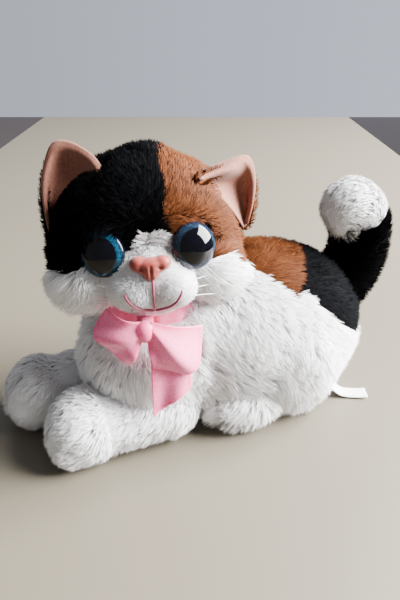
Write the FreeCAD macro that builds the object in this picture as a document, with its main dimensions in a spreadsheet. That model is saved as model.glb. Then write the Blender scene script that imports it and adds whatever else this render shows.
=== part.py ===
import FreeCAD, Part
import math
import os

from FreeCAD import Placement, Rotation, Vector

# A lying plush cat. The body points along -Y, +Z is up, the cat's own left is +X.
# The origin is on the table, under the middle of the cat's outer box. Millimetres.
# Outer faces are at half the height of the pile. Each cover panel is a shell as
# thick as its cloth with the pile pressed flat, and the filling is the solid inside.

doc = FreeCAD.newDocument("plush_cat")
sheet = doc.addObject("Spreadsheet::Sheet", "Sizes")

SIZES = [
    ("skin", 4, "cloth and pressed pile"),
    ("room", 0.5, "space between two bodies"),
    ("mid_x", -1.2, "middle of the outer box, across"),
    ("mid_y", 14.3, "middle of the outer box, along"),
    ("barrel_wide", 54, "rear body, half width"),
    ("barrel_long", 80, "rear body, half length"),
    ("barrel_tall", 63, "rear body, half height"),
    ("barrel_y", 38, "rear body, centre"),
    ("barrel_z", 44, "rear body, centre"),
    ("chest_wide", 46, "chest, half width"),
    ("chest_long", 45, "chest, half length"),
    ("chest_tall", 46, "chest, half height"),
    ("chest_y", -35, "chest, centre"),
    ("belly_top", 8, "top edge of the belly panel"),
    ("chest_back", -15, "seam behind the chest panel"),
    ("pouch_wide", 26, "pellet pouch, half width"),
    ("pouch_long", 36, "pellet pouch, half length"),
    ("pouch_tall", 11, "pellet pouch, half height"),
    ("head_deep", 47, "head, half depth"),
    ("head_wide", 55, "head, half width"),
    ("head_tall", 46, "head, half height"),
    ("head_x", -11, "head, centre"),
    ("head_y", -30, "head, centre"),
    ("head_z", 121, "head, centre"),
    ("head_turn", 72, "head turned to the left, degrees"),
    ("head_lift", 15, "face lifted, degrees"),
    ("head_roll", 2, "head tilted, degrees"),
    ("head_room", 10, "body kept clear of the head by this much"),
    ("muzzle_deep", 24, "muzzle, half depth"),
    ("muzzle_wide", 27, "muzzle, half width"),
    ("muzzle_tall", 23, "muzzle, half height"),
    ("muzzle_out", 30, "muzzle centre, forward of the head's"),
    ("muzzle_down", 20, "muzzle centre, below the head's"),
    ("cheek_top", -13, "seam above the white cheeks"),
    ("neck_ball", 24, "neck filling, radius"),
    ("neck_z", 78, "neck filling, centre"),
    ("neck_flat", 90, "underside of the head round the neck"),
    ("neck_flat_wide", 46, "radius of that underside"),
    ("eye_wide", 12.5, "eye dome, radius"),
    ("eye_dome", 16, "eye dome, radius of curvature"),
    ("eye_rim", 2, "eye dome, straight edge"),
    ("iris_thick", 0.6, "glitter disc behind the dome"),
    ("shank_wide", 2.4, "shank of an eye, radius"),
    ("shank_long", 14, "shank of an eye"),
    ("washer_wide", 9, "locking washer, radius"),
    ("washer_thick", 2, "locking washer"),
    ("nose_wide", 10.5, "nose, half width"),
    ("nose_tall", 7, "nose, half height"),
    ("nose_deep", 5, "nose, half depth"),
    ("thread", 0.8, "embroidery above the cloth"),
    ("mouth_ring", 11, "curve of each side of the mouth, radius"),
    ("whisker", 0.3, "whisker, radius"),
    ("whisker_long", 30, "whisker"),
    ("ear_back", 3, "pile cloth of an ear"),
    ("ear_lining", 2, "lining of an ear"),
    ("ear_groove", 5, "groove for the ear's seam, radius"),
    ("ribbon_ring", 34, "ribbon round the neck, radius"),
    ("ribbon_half", 2.5, "ribbon round the neck, half its fold"),
    ("ribbon_z", 81, "ribbon round the neck"),
    ("knot_out", 54, "bow's knot, out from the neck"),
    ("knot_size", 6, "bow's knot, half size"),
    ("tail_ribbon_wide", 18, "hanging ribbon end"),
    ("tail_ribbon_long", 35, "hanging ribbon end"),
    ("tail_ribbon_thick", 1, "hanging ribbon end"),
    ("leg_wide", 19.5, "front leg, radius"),
    ("leg_z", 20, "front leg, centre"),
    ("shoulder_x", 27, "shoulder, from the middle"),
    ("shoulder_y", -34, "shoulder"),
    ("paw_wide", 23, "paw, half width and length"),
    ("paw_tall", 22, "paw, half height"),
    ("leg_rise", 18, "slope of the chest above the front legs, degrees"),
    ("thigh_wide", 22, "thigh, half width"),
    ("thigh_long", 34, "thigh, half length"),
    ("thigh_tall", 36, "thigh, half height"),
    ("thigh_x", 32, "thigh, centre"),
    ("thigh_y", 52, "thigh, centre"),
    ("thigh_z", 34, "thigh, centre"),
    ("foot_wide", 16, "hind foot, half width"),
    ("foot_long", 27, "hind foot, half length"),
    ("foot_tall", 17, "hind foot, half height"),
    ("foot_x", 34, "hind foot, centre"),
    ("foot_y", 20, "hind foot, centre"),
    ("foot_z", 15, "hind foot, centre"),
    ("tail_wide", 13.5, "tail, radius"),
    ("tail_y", 102, "centre of the tail's curve"),
    ("tail_z", 80, "centre of the tail's curve"),
    ("tail_ring", 39, "radius of the tail's curve"),
    ("tip_ring", 16, "radius of the tip's curl"),
    ("tail_room", 3, "space round the tail's root"),
    ("label_wide", 12, "care label"),
    ("label_long", 24, "care label"),
    ("label_thick", 0.6, "care label, folded"),
]


def fill_sheet():
    for row, (name, value, words) in enumerate(SIZES, 1):
        sheet.set(f"A{row}", words)
        sheet.set(f"B{row}", str(value))
        sheet.setAlias(f"B{row}", name)
    doc.recompute()


fill_sheet()
size = {name: float(value) for name, value, words in SIZES}
parts = {}


def at(x, y, z):
    """A point of the cat, moved so that the origin is in the middle of the box."""
    return Vector(x - size["mid_x"], y - size["mid_y"], z)


def head_rotation():
    """Takes X, Y, Z to the head's left, back and up."""
    turn = Rotation(Vector(0, 0, 1), size["head_turn"])
    lift = Rotation(Vector(1, 0, 0), -size["head_lift"])
    roll = Rotation(Vector(0, 1, 0), -size["head_roll"])
    return turn * lift * roll


HEAD = Placement(at(size["head_x"], size["head_y"], size["head_z"]), head_rotation())
PLAIN = Placement(at(0, 0, 0), Rotation())
FACING = Rotation(Vector(0, 0, 1), size["head_turn"])
NECK = Placement(at(size["head_x"], size["head_y"] + 2, 0), FACING)


def bind(item, **cells):
    """Ties sizes of one object to the sheet. A cell's name or a short sum of names."""
    for name, rule in cells.items():
        words = [f"Sizes.{word}" if word in size else word for word in rule.split()]
        item.setExpression(name, " ".join(words))
    return item


def primitive(kind, name, place, centre, turn=None, **cells):
    """A primitive at a point of a frame, with its own turn in that frame."""
    item = doc.addObject(f"Part::{kind}", name)
    item.Placement = place * Placement(Vector(*centre), turn or Rotation())
    return bind(item, **cells)


def ellipsoid(name, place, centre, wide, long, tall, turn=None):
    """Half width along X, half length along Y, half height along Z."""
    item = primitive("Ellipsoid", name, place, centre, turn, Radius1=tall, Radius2=wide, Radius3=long)
    item.Angle1 = -90
    item.Angle2 = 90
    item.Angle3 = 360
    return item


def sphere(name, place, centre, radius):
    return primitive("Sphere", name, place, centre, Radius=radius)


def rod(name, place, centre, turn, radius, height):
    return primitive("Cylinder", name, place, centre, turn, Radius=radius, Height=height)


def block(name, place, low, high, turn=None):
    item = primitive("Box", name, place, low, turn)
    item.Length = high[0] - low[0]
    item.Width = high[1] - low[1]
    item.Height = high[2] - low[2]
    return item


def prism(name, place, outline, low, high):
    """An outline in the YZ plane, as long as low to high along X."""
    points = [Vector(low, y, z) for y, z in outline]
    face = Part.Face(Part.makePolygon(points + points[:1]))
    item = doc.addObject("Part::Feature", name)
    item.Shape = face.extrude(Vector(high - low, 0, 0))
    item.Placement = place
    return item


def fuse(name, *items):
    item = doc.addObject("Part::MultiFuse", name)
    item.Shapes = list(items)
    return item


def common(name, base, tool):
    item = doc.addObject("Part::Common", name)
    item.Base = base
    item.Tool = tool
    return item


def cut(name, base, *tools):
    """The base without each tool, one after the other."""
    for number, tool in enumerate(tools):
        item = doc.addObject("Part::Cut", name if tool is tools[-1] else f"{name}_{number}")
        item.Base = base
        item.Tool = tool
        base = item
    return base


def keep(name, item):
    """Marks a sub-part to be written out."""
    item.Label = name
    parts[name] = item
    return item


# ---------------------------------------------------------------- body


def barrel(name, less):
    """The rear body, smaller by a cell on every side. Its pole and edge lie forward."""
    centre = (0, size["barrel_y"], size["barrel_z"])
    sizes = (f"barrel_long - {less}", f"barrel_wide - {less}", f"barrel_tall - {less}")
    return ellipsoid(name, PLAIN, centre, *sizes, Rotation(Vector(0, 0, 1), -90))


def chest(name, less):
    """The chest, smaller by a cell on every side."""
    centre = (0, size["chest_y"], size["chest_tall"])
    sizes = (f"chest_long - {less}", f"chest_wide - {less}", f"chest_tall - {less}")
    return ellipsoid(name, PLAIN, centre, *sizes, Rotation(Vector(0, 0, 1), -90))


def head_envelope():
    """The space that the head needs as it turns and nods."""
    skull = ellipsoid(
        "skull_space",
        HEAD,
        (0, 0, 0),
        "head_wide + head_room",
        "head_deep + head_room",
        "head_tall + head_room",
    )
    muzzle = ellipsoid(
        "muzzle_space",
        HEAD,
        (0, -size["muzzle_out"], -size["muzzle_down"]),
        "muzzle_wide + head_room",
        "muzzle_deep + head_room",
        "muzzle_tall + head_room",
    )
    return [skull, muzzle]


def leg_space():
    """The slope of the chest above the front legs, and a socket for each shoulder."""
    back = size["shoulder_y"]
    low = size["leg_z"] + size["leg_wide"] + 2
    front = size["chest_y"] - size["chest_long"] - 10
    high = low + (back - front) * math.tan(math.radians(size["leg_rise"]))
    outline = [(back, -5), (back, low), (front, high), (front, -5)]
    slope = prism("leg_slope", PLAIN, outline, -size["barrel_wide"], size["barrel_wide"])
    sockets = []
    for side, sign in (("left", 1), ("right", -1)):
        centre = (sign * size["shoulder_x"], back, size["leg_z"])
        sockets.append(sphere(f"shoulder_space_{side}", PLAIN, centre, "leg_wide + room"))
    return [slope] + sockets


def hind_part(part, side, sign, less=""):
    """The thigh or the foot of a hind leg, smaller by a cell where one is given."""
    centre = (sign * size[f"{part}_x"], size[f"{part}_y"], size[f"{part}_z"])
    sizes = [f"{part}_{way} {less}" for way in ("wide", "long", "tall")]
    return ellipsoid(f"{part}_{side}{less}", PLAIN, centre, *sizes)


def hind_leg(side, sign):
    """A thigh and a foot in one cover."""
    return fuse(f"hind_{side}", hind_part("thigh", side, sign), hind_part("foot", side, sign))


def under_table(name, top):
    """Everything lower than a height."""
    return block(name, PLAIN, (-90, -150, -30), (90, 190, top))


def tail_start():
    """Where the tail's centreline begins, as an angle on its curve and a point."""
    angle = math.radians(-68)
    y = size["tail_y"] + size["tail_ring"] * math.cos(angle)
    z = size["tail_z"] + size["tail_ring"] * math.sin(angle)
    return angle, (0, y, z)


def body():
    """A cover of panels round the filling, in two masses that meet behind the chest."""
    table = under_table("table", 0)
    spaces = head_envelope() + leg_space()
    spaces.append(sphere("neck_space", NECK, (0, 0, size["neck_z"]), "neck_ball + room"))
    spaces.append(sphere("tail_space", PLAIN, tail_start()[1], "tail_wide + tail_room"))
    legs = []
    for side, sign in (("left", 1), ("right", -1)):
        legs.append(cut(f"hind_outer_{side}", hind_leg(side, sign), table))
    wide = size["barrel_wide"] + 5
    front = size["chest_y"] - size["chest_long"] - 10
    end = size["barrel_y"] + size["barrel_long"] + 10
    top = size["barrel_z"] + size["barrel_tall"] + 10
    fore = block("fore_area", PLAIN, (-wide, front, 0), (wide, size["chest_back"], top))
    rear = block("rear_area", PLAIN, (-wide, size["chest_back"], 0), (wide, end, top))
    floor = under_table("belly_inside", size["skin"])
    fore_core = cut("fore_core", common("fore_filling", chest("chest_inner", "skin"), fore), floor, *spaces)
    rear_core = cut("rear_core", common("rear_filling", barrel("barrel_inner", "skin"), rear), floor, *spaces)
    pouch = ellipsoid(
        "pouch",
        PLAIN,
        (0, size["barrel_y"], size["skin"] + size["pouch_tall"] + 1),
        "pouch_wide",
        "pouch_long",
        "pouch_tall",
    )
    keep("pellet_pouch", pouch)
    keep("chest_stuffing", fore_core)
    keep("torso_stuffing", cut("rear_filled", rear_core, pouch))
    fore_shell = cut("fore_shell", common("fore_outer", chest("chest_outer", "0"), fore), chest_core(), *spaces)
    rear_shell = cut("rear_shell", common("rear_outer", barrel("barrel_outer", "0"), rear), barrel_core(), *spaces, *legs)
    panels(fore_shell, rear_shell)
    hind_legs(legs)


def chest_core():
    """The chest's inside, above the belly's cloth."""
    return cut("chest_core", chest("chest_inside", "skin"), under_table("chest_floor", size["skin"]))


def barrel_core():
    """The rear body's inside, above the belly's cloth."""
    return cut("barrel_core", barrel("barrel_inside", "skin"), under_table("barrel_floor", size["skin"]))


def panels(fore_shell, rear_shell):
    """The body cover's panels, each a region of one shell."""
    wide = size["barrel_wide"] + 5
    back = size["chest_back"] - 5
    end = size["barrel_y"] + size["barrel_long"] + 10
    top = size["barrel_z"] + size["barrel_tall"] + 10
    low = size["belly_top"]
    point = (50, 80)
    crest = (66, top)
    rump_corner = (68, 68)
    rump_end = (end, 24)
    belly_area = under_table("belly_area", low)
    keep("belly_panel", common("belly", rear_shell, belly_area))
    breast_area = under_table("breast_area", size["leg_z"] - 1)
    keep("breast_panel", common("breast", fore_shell, breast_area))
    keep("chest_panel", cut("chest_cover", fore_shell, breast_area))
    saddle_edge = [(back, 85), point, crest, (back, top)]
    keep("saddle_panel", common("saddle", rear_shell, prism("saddle_area", PLAIN, saddle_edge, -wide, wide)))
    rump_edge = [crest, point, rump_corner, rump_end, (end, top)]
    keep("rump_panel", common("rump", rear_shell, prism("rump_area", PLAIN, rump_edge, -wide, wide)))
    side_edge = [(back, low), (end, low), rump_end, rump_corner, point, (back, 85)]
    for side, ends in (("left", (0, wide)), ("right", (-wide, 0))):
        area = prism(f"side_area_{side}", PLAIN, side_edge, *ends)
        keep(f"side_panel_{side}", common(f"side_cover_{side}", rear_shell, area))


def hind_legs(outers):
    """Each hind leg's cover and fillings, cut off where it is sewn to the body."""
    sewn = barrel("barrel_sewn", "skin")
    for (side, sign), outer in zip((("left", 1), ("right", -1)), outers):
        fillings = []
        for part in ("thigh", "foot"):
            floor = under_table(f"{part}_floor_{side}", size["skin"])
            filling = cut(f"{part}_inner_{side}", hind_part(part, side, sign, "- skin"), floor, sewn)
            keep(f"hind_{part}_{side}_stuffing", filling)
            fillings.append(filling)
        keep(f"hind_leg_{side}_cover", cut(f"hind_cover_{side}", outer, *fillings, sewn))


# ---------------------------------------------------------------- head


def skull(name, less):
    """The head without its muzzle, smaller by a cell on every side."""
    sizes = (f"head_wide - {less}", f"head_deep - {less}", f"head_tall - {less}")
    return ellipsoid(name, HEAD, (0, 0, 0), *sizes)


def muzzle(name, less):
    """The muzzle, smaller by a cell on every side."""
    centre = (0, -size["muzzle_out"], -size["muzzle_down"])
    sizes = (f"muzzle_wide - {less}", f"muzzle_deep - {less}", f"muzzle_tall - {less}")
    return ellipsoid(name, HEAD, centre, *sizes)


# Each eye's seat in the head's frame: a point of the cover, and how far its axis
# turns away from straight ahead, in degrees.
EYES = {"left": ((24, -41, -4), 20), "right": ((-23, -41, -5), -20)}
NOSE = (1, -52, -12)
FORWARD = Rotation(Vector(1, 0, 0), 90)


def eye_frame(side):
    """Z of this frame is the eye's axis, out of the face."""
    seat, turn = EYES[side]
    return HEAD * Placement(Vector(*seat), Rotation(Vector(0, 0, 1), turn) * FORWARD)


def nose_frame():
    return HEAD * Placement(Vector(*NOSE), FORWARD)


def eye(side):
    """A clear dome with its shank, a glitter disc behind it and a washer inside."""
    place = eye_frame(side)
    out = Rotation()
    disc = size["iris_thick"]
    rim = disc + size["eye_rim"]
    depth = math.sqrt(size["eye_dome"] ** 2 - size["eye_wide"] ** 2)
    ball = sphere(f"eye_ball_{side}", place, (0, 0, rim - depth), "eye_dome")
    tube = rod(f"eye_tube_{side}", place, (0, 0, disc), out, "eye_wide", "eye_wide")
    dome = common(f"eye_dome_{side}", ball, tube)
    shank = rod(f"eye_shank_{side}", place, (0, 0, disc - size["shank_long"]), out, "shank_wide", "shank_long")
    lens = fuse(f"eye_lens_shape_{side}", dome, shank)
    plate = rod(f"iris_plate_{side}", place, (0, 0, 0), out, "eye_wide", "iris_thick")
    washer_at = -size["skin"] - 3 - size["washer_thick"]
    ring = rod(f"washer_plate_{side}", place, (0, 0, washer_at), out, "washer_wide", "washer_thick")
    keep(f"eye_{side}_dome", lens)
    keep(f"eye_{side}_iris", cut(f"iris_{side}", plate, shank))
    keep(f"eye_{side}_washer", cut(f"washer_{side}", ring, shank))
    pocket = rod(f"eye_pocket_{side}", place, (0, 0, 0), out, "eye_wide", "head_deep")
    return [pocket, shank, ring]


def nose(muzzle_outer):
    """A moulded nose with a shank through the cloth and a washer inside."""
    place = nose_frame()
    out = Rotation()
    button = ellipsoid("nose_button", place, (0, 0, 0), "nose_wide", "nose_tall", "nose_deep")
    shank = rod("nose_shank", place, (0, 0, -size["shank_long"]), out, "shank_wide", "shank_long")
    ring_at = -size["shank_long"] + 1
    ring = rod("nose_plate", place, (0, 0, ring_at), out, "washer_wide", "washer_thick")
    keep("nose", fuse("nose_shape", cut("nose_face", button, muzzle_outer), shank))
    keep("nose_washer", cut("nose_ring", ring, shank))
    return [shank, ring]


def mouth(muzzle_outer):
    """Thread on the muzzle: a short upright line and a curve to each side."""
    coat = cut("mouth_coat", muzzle("mouth_raised", "0 + thread"), muzzle_outer)
    place = HEAD * Placement(Vector(NOSE[0] + 1, 0, 0), FORWARD)
    ring = size["mouth_ring"]
    line = size["thread"]
    low = -35
    threads = [block("mouth_bar", place, (-line, low + line, 30), (line, low + 15, 70))]
    for side, sign in (("left", 1), ("right", -1)):
        centre = (sign * ring, low + ring, 30)
        outside = rod(f"mouth_out_{side}", place, centre, Rotation(), "mouth_ring + thread", "head_deep")
        inside = rod(f"mouth_in_{side}", place, centre, Rotation(), "mouth_ring - thread", "head_deep")
        curve = cut(f"mouth_curve_{side}", outside, inside)
        ends = sorted((sign * line, sign * ring * 1.9))
        half = block(f"mouth_half_{side}", place, (ends[0], low - 2, 25), (ends[1], low + ring * 0.8, 80))
        threads.append(common(f"mouth_arc_{side}", curve, half))
    lines = [common(f"mouth_line_{number}", coat, thread) for number, thread in enumerate(threads)]
    keep("mouth_stitch", fuse("mouth_lines", *lines))


def whiskers():
    """Stiff clear strands, from the muzzle back across each cheek."""
    for side, sign in (("left", 1), ("right", -1)):
        strands = []
        for number in range(3):
            along = Vector(sign * 0.74, 0.62, -0.1 + 0.1 * number)
            root = (sign * 22, -47, -30 + 4 * number)
            turn = Rotation(Vector(0, 0, 1), along)
            strands.append(rod(f"whisker_{side}_{number}", HEAD, root, turn, "whisker", "whisker_long"))
        keep(f"whiskers_{side}", fuse(f"whisker_set_{side}", *strands))


# Each ear in the head's frame, across and up: the outer and the inner end of its
# seam, and its tip.
EARS = {
    "left": ((57, 3), (36.5, 36.5), (60, 52)),
    "right": ((-55.5, 11.5), (-27.5, 42), (-46, 60)),
}


def ear(side):
    """Two layers in one outline, which bends at the seam between outer and inner."""
    outer, inner, tip = [Vector(across, 0, up) for across, up in EARS[side]]
    along = inner - outer
    middle = outer + along * 0.5
    swell = (tip - middle) * 0.12
    bulge_out = (outer + tip) * 0.5 + (outer - inner) * 0.1 + swell
    bulge_in = (inner + tip) * 0.5 + (inner - outer) * 0.1 + swell
    edges = [
        Part.LineSegment(inner, outer).toShape(),
        Part.Arc(outer, bulge_out, tip).toShape(),
        Part.Arc(tip, bulge_in, inner).toShape(),
    ]
    face = Part.Face(Part.Wire(edges))
    for layer, low, high in (("back", 0, size["ear_back"]), ("lining", -size["ear_lining"], 0)):
        item = doc.addObject("Part::Feature", f"ear_shape_{side}_{layer}")
        sheet_of_cloth = face.copy()
        sheet_of_cloth.translate(Vector(0, low, 0))
        item.Shape = sheet_of_cloth.extrude(Vector(0, high - low, 0))
        item.Placement = HEAD
        keep(f"ear_{side}_{layer}", item)
    turn = Rotation(Vector(0, 0, 1), along)
    start = outer - along * 0.1
    groove = primitive("Cylinder", f"ear_groove_{side}", HEAD, tuple(start), turn, Radius="ear_groove")
    groove.Height = along.Length * 1.2
    return [groove]


def head():
    """A skull and a muzzle of cloth round one filling, with the face's pieces let in."""
    muzzle_outer = muzzle("muzzle_outer", "0")
    skull_inner = skull("skull_inner", "skin")
    muzzle_inner = muzzle("muzzle_inner", "skin")
    under = rod("neck_underside", NECK, (0, 0, 50), Rotation(), "neck_flat_wide", "neck_flat - 50")
    ball = sphere("head_socket", NECK, (0, 0, size["neck_z"]), "neck_ball + room")
    ears = ear("left") + ear("right")
    eyes = eye("left") + eye("right")
    fixings = nose(muzzle_outer)
    skull_shell = cut("skull_shell", skull("skull_outer", "0"), skull_inner, muzzle_outer, under, ball, *ears, *eyes)
    pockets = eyes[:1] + eyes[3:4]
    cover = cut("muzzle_cover", muzzle_outer, muzzle_inner, skull_inner, under, *pockets, fixings[0])
    keep("muzzle_panel", cover)
    filled = fuse("head_inside", skull_inner, muzzle_inner)
    keep("head_stuffing", cut("head_filling", filled, under, ball, *ears, *eyes, *fixings))
    mouth(muzzle_outer)
    whiskers()
    head_panels(skull_shell)


def head_panels(shell):
    """White cheeks with a blaze, and black and orange panels in front and behind."""
    big = 90
    seam = size["cheek_top"]
    low_half = block("cheek_area", HEAD, (-big, -big, -big), (big, big, seam))
    blaze_points = [Vector(x, -big, z) for x, z in ((-14, seam - 5), (16, seam - 5), (3, 14))]
    blaze = doc.addObject("Part::Feature", "blaze_area")
    blaze.Shape = Part.Face(Part.makePolygon(blaze_points + blaze_points[:1])).extrude(Vector(0, big, 0))
    blaze.Placement = HEAD
    keep("cheek_panel", common("cheek_cover", shell, low_half))
    keep("blaze_panel", cut("blaze_cover", common("blaze_shell", shell, blaze), low_half))
    for side, across in (("orange", (1, big)), ("black", (-big, 1))):
        for end, along in (("front", (-big, 2)), ("back", (2, big))):
            name = f"head_{side}_{end}_panel"
            area = block(f"{name}_area", HEAD, (across[0], along[0], seam), (across[1], along[1], big))
            piece = common(f"{name}_shell", shell, area)
            keep(name, cut(f"{name}_cover", piece, blaze) if end == "front" else piece)


# ---------------------------------------------------------------- neck and bow


def neck_and_bow():
    """The neck's filling, and a ribbon tied round it with a bow under the chin."""
    keep("neck_stuffing", sphere("neck_filling", NECK, (0, 0, size["neck_z"]), "neck_ball"))
    ring = primitive("Torus", "ribbon", NECK, (0, 0, size["ribbon_z"]), Radius1="ribbon_ring", Radius2="ribbon_half")
    keep("neck_ribbon", ring)
    out = size["knot_out"]
    ring_edge = size["ribbon_ring"] + size["ribbon_half"] - 1
    level = size["ribbon_z"]
    band = block("knot_band", NECK, (-4, -out, level - 1.5), (4, -ring_edge, level + 1.5))
    ball = ellipsoid("knot_ball", NECK, (0, -out, level + 1), "knot_size", "knot_size - 1", "knot_size")
    knot = cut("knot", fuse("knot_shape", band, ball), ring)
    keep("bow_knot", knot)
    for side, centre, half in (("left", 23, 18), ("right", -30, 25)):
        loop = ellipsoid(f"loop_{side}", NECK, (centre, -out, level + 1), f"{half}", "knot_size - 1", "knot_size + 3")
        keep(f"bow_loop_{side}", cut(f"bow_loop_shape_{side}", loop, knot))
    hanging_ribbon(out, level)


def hanging_ribbon(out, level):
    """The ribbon's free end, hanging from the knot over the chest."""
    wide = size["tail_ribbon_wide"]
    lean = Rotation(Vector(1, 0, 0), -17)
    hang = NECK * Placement(Vector(0, -out - 4, level - size["knot_size"] - 1), lean)
    strip = primitive("Box", "ribbon_end", hang, (-wide / 2, 0, -size["tail_ribbon_long"]))
    bind(strip, Length="tail_ribbon_wide", Width="tail_ribbon_thick", Height="tail_ribbon_long")
    keep("bow_tail", strip)


# ---------------------------------------------------------------- front legs

PAWS = {"left": (24, -85), "right": (-22, -103)}


def front_leg_shape(side, sign, name, less):
    """A round shoulder, a straight leg and a wider paw."""
    x, y = PAWS[side]
    shoulder = Vector(sign * size["shoulder_x"], size["shoulder_y"], size["leg_z"])
    paw = Vector(x, y, size["leg_z"])
    along = paw - shoulder
    turn = Rotation(Vector(0, 0, 1), along)
    joint = sphere(f"{name}_joint", PLAIN, tuple(shoulder), f"leg_wide {less}")
    limb = primitive("Cylinder", f"{name}_limb", PLAIN, tuple(shoulder), turn, Radius=f"leg_wide {less}")
    limb.Height = along.Length
    foot = ellipsoid(f"{name}_paw", PLAIN, tuple(paw), f"paw_wide {less}", f"paw_wide {less}", f"paw_tall {less}")
    return fuse(name, joint, limb, foot)


def front_leg(side, sign):
    floor = under_table(f"leg_floor_{side}", 0)
    sole = under_table(f"leg_sole_{side}", size["skin"])
    outer = cut(f"front_outer_{side}", front_leg_shape(side, sign, f"front_{side}", ""), floor)
    whole = front_leg_shape(side, sign, f"front_core_{side}", "- skin")
    inner = cut(f"front_inner_{side}", whole, sole)
    keep(f"front_leg_{side}_cover", cut(f"front_cover_{side}", outer, inner))
    keep(f"front_leg_{side}_stuffing", inner)
    toe_stitches(side)


def toe_stitches(side):
    """Two threads over the front of the paw, which draw in the toes."""
    x, y = PAWS[side]
    place = (x, y, size["leg_z"])
    rings = []
    for name, less in (("out", "+ thread"), ("in", "")):
        sizes = (f"paw_wide {less}", f"paw_wide {less}", f"paw_tall {less}")
        rings.append(ellipsoid(f"toe_{name}_{side}", PLAIN, place, *sizes))
    coat = cut(f"toe_coat_{side}", *rings)
    half = size["thread"]
    slots = []
    for number, across in enumerate((-8, 8)):
        low = (x + across - half, y - 30, 12)
        high = (x + across + half, y - 8, 38)
        slots.append(block(f"toe_slot_{side}_{number}", PLAIN, low, high))
    keep(f"toe_stitches_{side}", common(f"toe_threads_{side}", coat, fuse(f"toe_slots_{side}", *slots)))


# ---------------------------------------------------------------- tail and label


def bend(name, centre, ring, start, end, radius):
    """A round tube along an arc in the plane x = 0, from one angle to another."""
    item = doc.addObject("Part::Torus", name)
    bind(item, Radius1=ring, Radius2=radius)
    item.Angle1 = -180
    item.Angle2 = 180
    item.Angle3 = math.degrees(end - start)
    upright = Rotation(Vector(0, math.cos(start), math.sin(start)), Vector(), Vector(1, 0, 0), "XZY")
    item.Placement = PLAIN * Placement(Vector(*centre), upright)
    return item


def tail():
    """A curved tube from the rump, up and over to a curled tip."""
    start, root = tail_start()
    seam = math.radians(48)
    turn = math.radians(62)
    curl = math.radians(165)
    centre = (0, size["tail_y"], size["tail_z"])
    short = size["tail_ring"] - size["tip_ring"]
    tip_centre = (0, centre[1] + short * math.cos(turn), centre[2] + short * math.sin(turn))
    hinge = (0, centre[1] + size["tail_ring"] * math.cos(seam), centre[2] + size["tail_ring"] * math.sin(seam))
    end = (0, tip_centre[1] + size["tip_ring"] * math.cos(curl), tip_centre[2] + size["tip_ring"] * math.sin(curl))
    gap = math.radians(5)
    for part, less in (("cover", ""), ("stuffing", "- skin")):
        wide = f"tail_wide {less}"
        base = sphere(f"tail_base_{part}", PLAIN, root, wide)
        tube = bend(f"tail_tube_{part}", centre, "tail_ring", start, seam - gap, wide)
        lower = fuse(f"tail_lower_{part}", base, tube)
        ball = sphere(f"tip_ball_{part}", PLAIN, hinge, wide)
        link = bend(f"tip_link_{part}", centre, "tail_ring", seam, turn, wide)
        arc = bend(f"tip_arc_{part}", tip_centre, "tip_ring", turn, curl, wide)
        cap = sphere(f"tip_cap_{part}", PLAIN, end, wide)
        upper = fuse(f"tail_upper_{part}", ball, link, arc, cap)
        if part == "cover":
            lower_outer = lower
            upper_outer = upper
    socket = sphere("tip_socket", PLAIN, hinge, "tail_wide + room")
    lower_core = cut("tail_core", lower, socket)
    keep("tail_cover", cut("tail_shell", lower_outer, socket, lower_core))
    keep("tail_stuffing", lower_core)
    keep("tail_tip_cover", cut("tip_shell", upper_outer, upper))
    keep("tail_tip_stuffing", upper)


def care_label():
    """A folded strip sewn in at the rump's left edge, lying out from it."""
    lean = Rotation(Vector(0, 0, 1), 62) * Rotation(Vector(0, 1, 0), 6)
    place = PLAIN * Placement(Vector(35, 84, 4.4), lean)
    strip = primitive("Box", "label_strip", place, (0, 0, 0))
    bind(strip, Length="label_long", Width="label_wide", Height="label_thick")
    keep("care_label", strip)


# ---------------------------------------------------------------- all


def check_document():
    """Stops before anything is written if an object failed or a sub-part has no solid."""
    faults = [item.Name for item in doc.Objects if {"Invalid", "Error"} & set(item.State)]
    for name, item in parts.items():
        shape = item.Shape
        if shape.isNull() or not shape.isValid() or not shape.Solids:
            faults.append(name)
    if faults:
        raise RuntimeError("failed: " + ", ".join(faults))


def write_parts():
    os.makedirs("parts", exist_ok=True)
    for name, item in parts.items():
        item.Shape.exportStep(os.path.join("parts", f"{name}.step"))


body()
head()
neck_and_bow()
front_leg("left", 1)
front_leg("right", -1)
tail()
care_label()
doc.recompute()
check_document()
write_parts()
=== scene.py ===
import math

import bmesh
import bpy
import numpy as np
from mathutils import Matrix, Vector
from mathutils.kdtree import KDTree


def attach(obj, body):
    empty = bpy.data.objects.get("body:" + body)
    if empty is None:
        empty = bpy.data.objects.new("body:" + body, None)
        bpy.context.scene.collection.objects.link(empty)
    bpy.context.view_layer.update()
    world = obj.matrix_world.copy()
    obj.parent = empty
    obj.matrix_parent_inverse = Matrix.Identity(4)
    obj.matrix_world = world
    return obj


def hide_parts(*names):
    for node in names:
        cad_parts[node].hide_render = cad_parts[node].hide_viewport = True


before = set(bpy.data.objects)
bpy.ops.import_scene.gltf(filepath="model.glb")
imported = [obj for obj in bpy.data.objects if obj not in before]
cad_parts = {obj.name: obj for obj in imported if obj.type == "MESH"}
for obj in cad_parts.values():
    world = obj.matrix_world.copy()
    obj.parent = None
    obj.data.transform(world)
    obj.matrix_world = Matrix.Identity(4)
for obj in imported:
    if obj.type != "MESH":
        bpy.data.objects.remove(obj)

# A lying plush cat. Shapes are given in millimetres in the cat's own coordinates, where the
# body points along -Y, +Z is up and the cat's left is +X, and go into the frame in metres.

MM = 0.001
MIDDLE = np.array([-1.2, 14.3, 0.0])  # middle of the outer box, in the cat's coordinates
CLOTH = 4.0  # the cloth lies this far inside the CAD faces, which are at half the pile
TABLE = 0.4  # nothing goes lower than this above the table

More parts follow.
